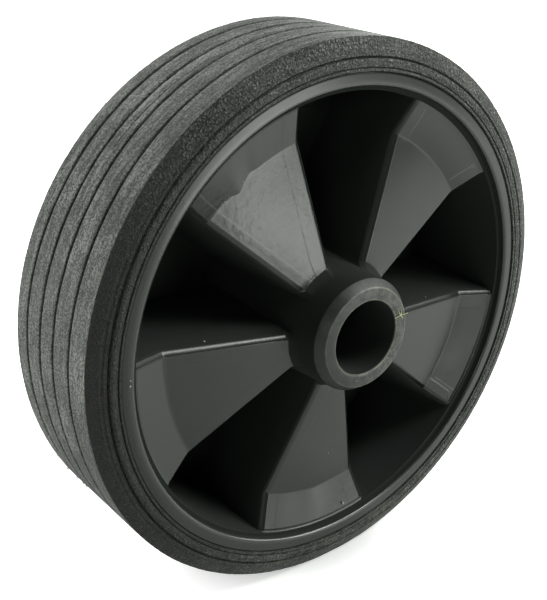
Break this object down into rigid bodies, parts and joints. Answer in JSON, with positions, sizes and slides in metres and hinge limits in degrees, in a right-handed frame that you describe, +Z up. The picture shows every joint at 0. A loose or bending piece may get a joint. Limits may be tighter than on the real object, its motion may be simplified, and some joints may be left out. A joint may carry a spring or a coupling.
{
  "type": "rubber trolley wheel",
  "caption": "Trolley wheel with a ribbed solid rubber tyre on a moulded plastic centre whose folded web joins the rim to a long plain-bore hub.",
  "frame": {"origin": "middle of the axle bore, on the wheel's middle plane", "axes": "+Y along the axle, out of the back face, with the front face towards -Y; +Z up, the wheel standing on its tread"},
  "size_m": [0.15, 0.059, 0.15],
  "materials": {
    "tyre_rubber": "dry matt moulded rubber",
    "centre_plastic": "smooth satin moulded"
  },
  "bodies": {
    "root": {"tyre": "tyre_rubber", "wheel_centre": "centre_plastic"}
  },
  "joints": []
}
